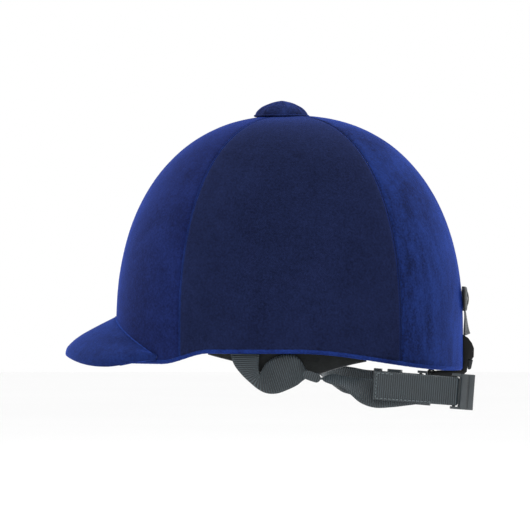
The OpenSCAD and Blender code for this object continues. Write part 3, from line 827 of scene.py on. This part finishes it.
def pillow(name, start, end, low, high, channels, node):
    """A sewn pad against the foam: it swells between its seams and is pinched at its edge."""
    columns, rows = 90, 34
    angles = np.linspace(start, end, columns)
    rises = np.linspace(low, high, rows)
    back, front = pad_faces(angles, rises)
    for r in range(rows):
        for c in range(columns):
            u, v = c / (columns - 1), r / (rows - 1)
            edge = min(u, 1 - u) * (columns / rows) * 1.3
            swell = smooth(min(edge, v, 1 - v) / 0.16) ** 0.5
            groove = abs(((u * channels) % 1.0) - 0.5) * 2
            quilt = 1 - 0.5 * smooth((groove - 0.86) / 0.14) * (0 < u < 1)
            wrinkle = 0.04 * ripple(front[r, c], 7 * MM, 8.2)
            k = 0.16 + 0.84 * swell * quilt + wrinkle * swell
            front[r, c] = back[r, c] + (front[r, c] - back[r, c]) * k
    obj = slab(name, front, back)
    return dress(obj, "lining", "helmet", [node])


def crown_pillow():
    columns, rows = 96, 26
    angles = np.linspace(0, 360, columns, endpoint=False)
    rises = np.linspace(62, 88.5, rows)
    back, front = pad_faces(angles, rises)
    for r in range(rows):
        for c in range(columns):
            v = r / (rows - 1)
            spoke = abs(((c / columns * 6) % 1.0) - 0.5) * 2
            seam = 1 - 0.45 * smooth((spoke - 0.9) / 0.1) * (v < 0.75)
            k = 0.15 + 0.85 * smooth(v / 0.18) ** 0.5 * seam
            front[r, c] = back[r, c] + (front[r, c] - back[r, c]) * k
    obj = slab("crown_pad_quilted", front, back, wrap=True, cap=True)
    dress(obj, "lining", "helmet", ["crown_pad"])


def pads():
    pillow("brow_pad_sewn", 147, 213, 0.8, 20, 4, "brow_pad")
    pillow("temple_pad_left_sewn", 220, 320, 0.8, 18, 5, "temple_pad_left")
    pillow("temple_pad_right_sewn", 40, 140, 0.8, 18, 5, "temple_pad_right")
    pillow("rear_pad_sewn", -33, 33, 0.8, 20, 4, "rear_pad")
    crown_pillow()


# ---- webbing ----

WEB_WIDTH = 21.5 * MM
WEB_THICK = 1.5 * MM
RIB = 1.6 * MM
STITCH = 2.0 * MM            # length of a stitch
THREAD = 0.22 * MM           # radius of its thread


def ribbon(name, pairs, thick=WEB_THICK, step=0.26 * MM, rib=0.13 * MM, pitch=RIB, cross=15):
    """A woven strap through pairs of edge points, ribbed across, with a rounded selvedge."""
    flat = np.array([[*a, *b] for a, b in pairs], float)
    line = curve_through(flat, step)
    left, right = line[:, :3], line[:, 3:]
    middle = (left + right) / 2
    gone = np.concatenate([[0], np.cumsum(np.linalg.norm(np.diff(middle, axis=0), axis=1))])
    along = unit(np.gradient(middle, axis=0))
    across = right - left
    width = np.linalg.norm(across, axis=1)
    normal = unit(np.cross(along, across))
    rows = []
    uvs = []
    half = thick / 2
    for i in range(len(line)):
        ring = []
        for k in range(2 * cross):
            side = 1 if k < cross else -1
            u = (k % cross) / (cross - 1)
            u = u if side > 0 else 1 - u
            lie = 0.012 + 0.976 * u
            near_edge = min(u, 1 - u) * width[i]
            drop = half * (1 - math.sqrt(max(0.0, 1 - (1 - min(1, near_edge / (1.1 * half))) ** 2)))
            wave = rib * math.sin(2 * math.pi * gone[i] / pitch) * (near_edge > 0.9 * MM)
            lift = side * (half - drop * 0.75 + wave)
            ring.append(middle[i] + across[i] * (lie - 0.5) + normal[i] * lift)
            uvs.append((lie * width[i], gone[i]))
        rows.append(ring)
    grid = np.array(rows)
    n, m = grid.shape[:2]
    faces = grid_faces(n, m, round_cols=True)
    faces.append(tuple(reversed(range(m))))
    faces.append(tuple(range((n - 1) * m, n * m)))
    return make_mesh(name, grid.reshape(-1, 3), faces, uvs)


LOOP_PAIRS = [
    ((-44.6, -96.9, 3), (-22.3, -99.2, 3)), ((-44.6, -97.2, -1), (-22.1, -99.5, -1)),
    ((-41.6, -101, -10.5), (-23, -104.8, -11)), ((-35.5, -103.5, -18.5), (-22.8, -107, -16)),
    ((-29, -105, -24.6), (-22.2, -107.6, -18.4)), ((-22.8, -104.8, -29.6), (-21.4, -106.4, -16.9)),
    ((-16.5, -103.8, -32.3), (-20, -103.9, -13.3)), ((-9, -103.8, -32.3), (-16.6, -101, -8.6)),
    ((-1.5, -105.4, -29.6), (-9.4, -101.2, -4.4)), ((5, -106.6, -26.4), (-1, -101.6, -3)),
    ((8.6, -108.6, -23.4), (6.4, -102.6, -6)), ((12.6, -112.4, -20.2), (12.6, -102.6, -16.4))]

RING = np.array([19, -107.5, -20.5]) * MM
RING_TILT = math.radians(19)
RING_FRONT = RING + 6.6 * MM * np.array([-math.cos(RING_TILT), 0, math.sin(RING_TILT)])
STRAP_PITCH = math.radians(4.2)
STRAP_YAW = math.radians(7.5)
ALONG = np.array([math.cos(STRAP_PITCH) * math.cos(STRAP_YAW),
                  math.cos(STRAP_PITCH) * math.sin(STRAP_YAW), -math.sin(STRAP_PITCH)])
AWAY = np.array([-math.sin(STRAP_YAW), math.cos(STRAP_YAW), 0])
ACROSS = np.cross(ALONG, AWAY)
LEFT_BAR = np.array([121, -97, -30.5]) * MM
RIGHT_BAR = np.array([100, -99.8, -31.5]) * MM
LAYER = 2 * MM
LEFT_BAND, RIGHT_BAND = 61 * MM, 42 * MM      # lengths of the doubled ends


def rolled(places):
    """Edge pairs of a strap from its centre places, each x, y, z, roll and width, in mm."""
    p = np.array([q[:3] for q in places], float)
    along = unit(np.gradient(p, axis=0))
    out = []
    for i, place in enumerate(places):
        flat = unit(np.cross([0, 0, 1], along[i]))
        tall = np.cross(along[i], flat)
        roll = math.radians(place[3])
        side = (tall * math.cos(roll) + flat * math.sin(roll)) * place[4] / 2
        out.append(((p[i] - side) * MM, (p[i] + side) * MM))
    return out


def pair_at(middle, side):
    return (middle - side * WEB_WIDTH / 2, middle + side * WEB_WIDTH / 2)


def round_the_bar(bar, radius, start, end, count, side, forward, outward):
    """Edge pairs of a strap that goes round a bar; angles in degrees from forward to outward."""
    out = []
    for a in np.radians(np.linspace(start, end, count)):
        out.append(pair_at(bar + radius * (forward * math.cos(a) + outward * math.sin(a)), side))
    return out


LEFT_TWIST = [(26, -108, -21.2, 74, 14), (32, -108.4, -21.6, 64, 18),
              (39, -108, -23.4, 66, 20), (46, -106.6, -26.8, 48, 21.5),
              (54, -104.4, -30.2, 26, 21.5), (63, -102.2, -32.2, 8, 21.5),
              (74, -100.6, -31.8, 0, 21.5), (88, -99.2, -30.2, 0, 21.5)]
RIGHT_TWIST = [(26, -107.8, -21.2, 72, 14), (32, -107.6, -22.1, 46, 18),
               (39, -106.6, -23.9, 22, 20), (46, -105.4, -25.9, 8, 21.5)]


def chin_pairs(bar, twist, band, join):
    """The whole strap: sleeve on the ring, twist, under layer, round the bar and back."""
    sleeve = [((21.6, -112.8, -21), (21.6, -102.2, -21)),
              ((23, -113.5, -21.05), (23, -101.9, -21.05))]
    pairs = [(np.array(b) * MM, np.array(a) * MM) for a, b in sleeve] + rolled(twist)
    for x in (-join, -join / 2, -4 * MM):
        pairs.append(pair_at(bar + x * ALONG + LAYER * AWAY, ACROSS))
    pairs += round_the_bar(bar, LAYER, 90, -90, 9, ACROSS, ALONG, AWAY)
    for x in np.linspace(-4 * MM, -band, 5):
        pairs.append(pair_at(bar + x * ALONG - LAYER * AWAY, ACROSS))
    return pairs


def ring_sleeve(name, centre, outside, inside, flip):
    """A sewn sleeve of gathered webbing round a bar of the ring."""
    count, width = 48, 11 * MM
    rows = []
    for y in np.linspace(-width / 2, width / 2, 23):
        gather = 0.22 * MM * math.cos(2 * math.pi * y / (2.4 * MM))
        tuck = 0.45 * MM * smooth((abs(y) / width - 0.38) / 0.12)
        row = []
        for k in range(count):
            a = 2 * math.pi * k / count
            r = outside + gather - tuck + 0.06 * MM * math.sin(12 * a)
            row.append((centre[0] + r * math.cos(a), centre[1] + y, centre[2] + r * math.sin(a)))
        rows.append(row)
    outer = np.array(rows)
    middle = np.array(centre)
    inner = outer.copy()
    scale = inside / np.maximum(np.linalg.norm((outer - middle)[:, :, [0, 2]], axis=2), 1e-9)
    inner[:, :, 0] = middle[0] + (outer[:, :, 0] - middle[0]) * scale
    inner[:, :, 2] = middle[2] + (outer[:, :, 2] - middle[2]) * scale
    if flip:
        outer = outer * np.array([1, -1, 1])
        inner = inner * np.array([1, -1, 1])
    uvs = [(k % count * 0.4 * MM, k // count * 0.5 * MM) for k in range(2 * outer.shape[0] * count)]
    return slab(name, outer, inner, wrap=True, uvs=uvs)


def ring_wrap(word, side):
    """Gathered webbing sewn over the outer side of the ring."""
    rows, count = 12, 64
    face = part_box("strap_ring_left")[0].y - 0.15 * MM
    middle = (RING + RING_FRONT) / 2
    reach = (RING_FRONT - RING) / 2
    forward = unit(reach)
    upward = np.cross(forward, (0, 1, 0))
    outer, inner = np.zeros((rows, count, 3)), np.zeros((rows, count, 3))
    for r, shrink in enumerate(np.linspace(1, 0.06, rows)):
        for k in range(count):
            a = 2 * math.pi * k / count
            arm = reach * math.copysign(min(1, abs(3 * math.cos(a))), math.cos(a))
            round_end = 3.4 * MM * (forward * math.cos(a) + upward * math.sin(a))
            point = middle + shrink * (arm + round_end)
            gather = 0.14 * MM * math.cos(2 * math.pi * float(np.dot(point, forward)) / (1.5 * MM))
            point[1] = face
            inner[r, k] = point
            point[1] = face - 0.45 * MM - (0.8 * MM + gather) * math.sqrt(1 - shrink ** 2)
            outer[r, k] = point
    points = (*outer.reshape(-1, 3), *inner.reshape(-1, 3), outer[-1].mean(0), inner[-1].mean(0))
    uvs = [(float(np.dot(q, upward)), float(np.dot(q, forward))) for q in points]
    flip = np.array([1, side, 1])
    wrap = slab("ring_wrap_" + word, outer * flip, inner * flip, wrap=True, cap=True, uvs=uvs)
    dress(wrap, "webbing", word + "_harness")


def stitches(name, start, end, lift, count, body):
    """A row of thread stitches from start to end, standing a little off the cloth."""
    start, end, lift = np.array(start), np.array(end), np.array(lift)
    step = (end - start) / count
    direction = unit(step)
    made = []
    for i in range(count):
        middle = start + step * (i + 0.5)
        path = [middle + direction * STITCH * t + lift * (0.16 * MM * math.cos(math.pi * t))
                for t in np.linspace(-0.5, 0.5, 5)]
        sizes = THREAD * np.array([0.55, 0.95, 1.0, 0.95, 0.55])
        made.append(tube(name + str(i), path, sizes, 6))
    obj = join(name, made)
    dress(obj, "thread", body)


def side_point(v, side):
    """A point of the left side, or its mirror on the right."""
    return np.array([v[0], v[1] * side, v[2]])


def webbing():
    for side, word in ((1, "left"), (-1, "right")):
        loop = [(side_point(np.array(a) * MM, side), side_point(np.array(b) * MM, side))
                for a, b in LOOP_PAIRS]
        obj = ribbon("loop_webbing_" + word, loop)
        dress(obj, "webbing", word + "_harness", ["loop_strap_" + word])
        if side > 0:
            pairs = chin_pairs(LEFT_BAR, LEFT_TWIST, LEFT_BAND, 20 * MM)
        else:
            pairs = chin_pairs(RIGHT_BAR, RIGHT_TWIST, RIGHT_BAND, 40 * MM)
        pairs = [(side_point(a, side), side_point(b, side)) for a, b in pairs]
        strap = ribbon("chin_webbing_" + word, pairs)
        sleeve = ring_sleeve("ring_sleeve_" + word, RING, 3.15 * MM, 1.68 * MM, side < 0)
        gather = ring_sleeve("loop_gather_" + word, RING_FRONT, 2.7 * MM, 1.45 * MM, side < 0)
        dress(gather, "webbing", word + "_harness")
        dress(strap, "webbing", word + "_strap", ["chin_strap_" + word])
        dress(sleeve, "webbing", word + "_strap")
        ring_wrap(word, side)
    sew_straps()


def sew_straps():
    """Threads of the doubled ends."""
    for side, word, bar, band in ((1, "left", LEFT_BAR, LEFT_BAND),
                                  (-1, "right", RIGHT_BAR, RIGHT_BAND)):
        face = bar - (LAYER + WEB_THICK / 2 + 0.06 * MM) * AWAY
        low = -ACROSS * (WEB_WIDTH / 2 - 1.6 * MM)
        high = -low
        far, near = -band + 2 * MM, -band + 44 * MM
        if side < 0:
            near = -band + 12 * MM
        rows = [(low, far, near, 14 if side > 0 else 4), (high, far, far + 12 * MM, 4)]
        for i, (offset, a, b, count) in enumerate(rows):
            start = side_point(face + offset + a * ALONG, side)
            end = side_point(face + offset + b * ALONG, side)
            stitches(f"stitch_{word}_{i}", start, end, side_point(-AWAY, side), count,
                     word + "_strap")
        start = side_point(face + low + far * ALONG, side)
        end = side_point(face + high + far * ALONG, side)
        stitches(f"stitch_{word}_end", start, end, side_point(-AWAY, side), 7, word + "_strap")


# ---- ear flap ----

FLAP_FROM, FLAP_TO, FLAP_TIP = -66 * MM, 66 * MM, 16 * MM
FLAP_START, FLAP_END = -60 * MM, 56 * MM
FLAP_DEPTH = 18.5 * MM
FLAP_GAP = 5.4 * MM


def flap_low(x):
    if x < FLAP_TIP:
        # Near x = -21 mm the flap's lower edge drops by up to 4 mm, so its dark suede fills the
        # shade inside the loop strap: painted shade.
        shadow_fill_drop = 4 * MM * math.exp(-((x + 21 * MM) / (11 * MM)) ** 2)
        return -1 * MM - FLAP_DEPTH * ((x - FLAP_FROM) / (FLAP_TIP - FLAP_FROM)) ** 0.8 - shadow_fill_drop
    rest = 1 - (x - FLAP_TIP) / (FLAP_TO - FLAP_TIP)
    return -7.5 * MM - (FLAP_DEPTH - 6.5 * MM) * max(0.0, rest) ** 1.5


def flap_high(x):
    return 3 * MM - 3.5 * MM * max(0.0, (-45 * MM - x) / (15 * MM)) \
        - 8.5 * MM * max(0.0, (x - 28 * MM) / (28 * MM)) ** 1.5


def flap_side(x):
    return -(half_width_at(x, SHELL_INSIDE) - FLAP_GAP)


def flaps():
    """Suede flaps with slack wrinkles and a bound lower edge."""
    for side, word in ((1, "left"), (-1, "right")):
        columns, rows = 150, 26
        outer = np.zeros((rows, columns, 3))
        for c, x in enumerate(np.linspace(FLAP_START, FLAP_END, columns)):
            low = flap_low(x) + 0.5 * MM
            y = flap_side(x)
            for r in range(rows):
                t = r / (rows - 1)
                z = low + (flap_high(x) - low) * t
                slack = (0.55 * MM * ripple((x, 0, z), 9 * MM, 4.0)
                         + 0.3 * MM * ripple((x, z, 0), 4 * MM, 1.0))
                slack *= smooth(1.2 - t) * smooth((x - FLAP_FROM) / (12 * MM)) * 0.9
                outer[r, c] = (x, y + min(slack, 0.25 * MM), z)
        inner = outer + np.array([0, 1.7 * MM, 0])
        edge = np.array([[x, flap_side(x) + 0.9 * MM, flap_low(x) + 0.6 * MM]
                         for x in np.linspace(FLAP_START, FLAP_END, 200)])
        flip = np.array([1, side, 1])
        obj = slab("ear_flap_suede_" + word, outer * flip, inner * flip)
        dress(obj, "flap_suede", word + "_harness", ["ear_flap_" + word])
        bound = tube("ear_flap_binding_" + word, edge * flip, 1.1 * MM, 8)
        dress(bound, "binding", word + "_harness")


# ---- rear: bow, bracket and nape pad ----

BOW_RIB = 0.75 * MM


def bow():
    """Grosgrain bow low on the back: two loops, a knot and two flaring tails."""
    low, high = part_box("bow_loops")
    tail_low, tail_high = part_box("bow_tails")
    back = HALF_LENGTH + 0.35 * MM
    middle = (low.z + high.z) / 2
    half = (high.z - low.z) / 2
    made = []
    for side in (1, -1):
        pairs = []
        for k in range(25):
            turn = math.radians(15 * k)
            reach = 2.5 * MM + 11 * MM * (1 - math.cos(turn))
            bulge = 1.5 * MM + 1.2 * MM * math.sin(turn)
            squeeze = 0.42 + 0.58 * math.sin(turn / 2) ** 0.8
            x = back + bulge - 1.3 * MM * (reach / (24 * MM)) ** 2
            tall = half * squeeze
            pairs.append(((x, side * reach, middle - tall), (x, side * reach, middle + tall)))
        made.append(ribbon(f"bow_loop_{side}", pairs, 0.7 * MM, 0.3 * MM, 0.05 * MM, BOW_RIB, 9))
    loops = join("bow_ribbon_loops", made)
    dress(loops, "ribbon", "helmet", ["bow_loops"])
    made = []
    top = tail_high.z + 1 * MM
    for side in (1, -1):
        pairs = []
        for t in np.linspace(0, 1, 9):
            z = top - (top - tail_low.z) * t
            x = back + 0.9 * MM + 0.3 * MM * math.sin(5 * t)
            y = side * (1.5 * MM + 5.0 * MM * t)
            wide = 4.0 * MM + 1.6 * MM * t
            near = (x + 4.6 * MM * t ** 1.4, y - side * wide, z)
            far = (x - 0.2 * MM, y + side * wide, z - 1.6 * MM * t)
            pairs.append((near, far))
        made.append(ribbon(f"bow_tail_{side}", pairs, 0.7 * MM, 0.3 * MM, 0.05 * MM, BOW_RIB, 9))
    tails = join("bow_ribbon_tails", made)
    dress(tails, "ribbon", "helmet", ["bow_tails"])
    pairs = []
    for k in range(17):
        a = math.radians(-100 + 200 * k / 16)
        x = back + 0.4 * MM + 3.3 * MM * math.cos(a * 0.88)
        z = middle + 7.2 * MM * math.sin(a * 0.9)
        pairs.append(((x, -3.1 * MM, z), (x, 3.1 * MM, z)))
    knot = ribbon("bow_ribbon_knot", pairs, 0.8 * MM, 0.3 * MM, 0.05 * MM, BOW_RIB, 9)
    dress(knot, "ribbon", "helmet", ["bow_knot"])


def bracket_backing():
    """Thin felt between the glossy bracket and the velvet."""
    angles = np.linspace(-5.2, 5.2, 13)
    heights = np.linspace(-15.5, 9, 14) * MM
    grid = np.array([[(plan_radius(a, 0) * math.cos(math.radians(a)),
                       plan_radius(a, 0) * math.sin(math.radians(a)), z) for a in angles]
                     for z in heights])
    outer = grid + np.array([0.75 * MM, 0, 0])
    inner = grid + np.array([0.08 * MM, 0, 0])
    felt = slab("bracket_felt", outer, inner)
    dress(felt, "flap_suede", "helmet")


def nape_pad():
    """Suede pad behind the head, swollen between its edges, with its sleeve on the bar."""
    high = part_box("nape_pad")[1]
    columns, rows = 80, 26
    angles = np.linspace(-24, 24, columns)
    front = np.zeros((rows, columns, 3))
    back = np.zeros((rows, columns, 3))
    for c, angle in enumerate(angles):
        a = math.radians(angle)
        drop = math.cos(math.radians(2.2 * angle))
        for r in range(rows):
            t = r / (rows - 1)
            u = c / (columns - 1)
            swell = smooth(min(min(u, 1 - u) * 3, t, 1 - t) / 0.2) ** 0.5
            z = high.z - 5.3 * MM - 15 * MM * t * drop
            thick = 1.5 * MM * (0.35 + 0.65 * swell)
            r_mid = plan_radius(angle, 24 * MM)
            pleat = 0.15 * MM * ripple((angle * MM * 2, 0, z), 5 * MM, 3.0)
            for face, out in ((front, r_mid + thick + pleat), (back, r_mid - thick + pleat)):
                face[r, c] = (out * math.cos(a), out * math.sin(a), z)
    obj = slab("nape_pad_suede", front, back)
    dress(obj, "flap_suede", "nape", ["nape_pad"])
    rim = []
    for r, c in [(r, 0) for r in range(rows)] + [(rows - 1, c) for c in range(columns)] \
            + [(r, columns - 1) for r in range(rows - 1, -1, -1)]:
        rim.append((front[r, c] + back[r, c]) / 2)
    bound = tube("nape_pad_binding", rim, 1.0 * MM, 8)
    dress(bound, "binding", "nape")
    centre = np.array([106.2, 0, -18.4]) * MM
    turns = [2 * math.pi * k / 40 for k in range(40)]
    outer = np.array([[(centre[0] + 2.9 * MM * math.cos(a), y, centre[2] + 2.9 * MM * math.sin(a))
                       for a in turns] for y in np.linspace(-8 * MM, 8 * MM, 9)])
    inner = outer.copy()
    inner[:, :, 0] = centre[0] + (outer[:, :, 0] - centre[0]) * 1.68 / 2.9
    inner[:, :, 2] = centre[2] + (outer[:, :, 2] - centre[2]) * 1.68 / 2.9
    sleeve = slab("nape_pad_sleeve", outer, inner, wrap=True)
    dress(sleeve, "binding", "nape")


def moulded_parts():
    """Moulded pieces: the CAD shapes with rounded edges."""
    rounded = [
        ("socket_moulded", "buckle_socket", "left_strap", "buckle_plastic", 0.7),
        ("plug_moulded", "buckle_plug", "right_strap", "buckle_plastic", 0.6),
        ("latch_upper_moulded", "latch_arm_upper", "latch_upper", "buckle_plastic", 0.35),
        ("latch_lower_moulded", "latch_arm_lower", "latch_lower", "buckle_plastic", 0.35),
        ("adjuster_moulded", "strap_adjuster", "adjuster", "buckle_plastic", 0.6),
        ("keeper_moulded", "strap_keeper", "keeper", "buckle_plastic", 0.5),
        ("nape_bracket_moulded", "nape_bracket", "helmet", "bracket_plastic", 0.8),
        ("ring_left_coated", "strap_ring_left", "left_harness", "ring_metal", 0.35),
        ("ring_right_coated", "strap_ring_right", "right_harness", "ring_metal", 0.35),
        ("anchor_cloth_left", "anchor_tabs_left", "helmet", "flap_suede", 0.4),
        ("anchor_cloth_right", "anchor_tabs_right", "helmet", "flap_suede", 0.4),
        ("nape_strap_fold", "nape_webbing", "helmet", "webbing", 0.7),
        ("harness_rivets_round", "harness_rivets", "helmet", "steel", 0.3),
        ("nape_rivets_round", "nape_rivets", "helmet", "steel", 0.3),
    ]
    for name, node, body, slot, bevel in rounded:
        obj = rounded_copy(name, node, bevel * MM)
        dress(obj, slot, body, [node])


def cad_nodes():
    """Materials of the CAD nodes that are shown as they are."""
    slots = {entry["node"]: entry["material_slot"] for entry in frame["record"]["subparts"]}
    for node, obj in frame["nodes"].items():
        material = MATERIALS.get(slots[node])
        for i in range(len(obj.material_slots)):
            obj.material_slots[i].material = material


camera()
studio()
cad_nodes()
cover()
hem()
peak()
button()
liner()
pads()
flaps()
webbing()
bow()
bracket_backing()
nape_pad()
moulded_parts()
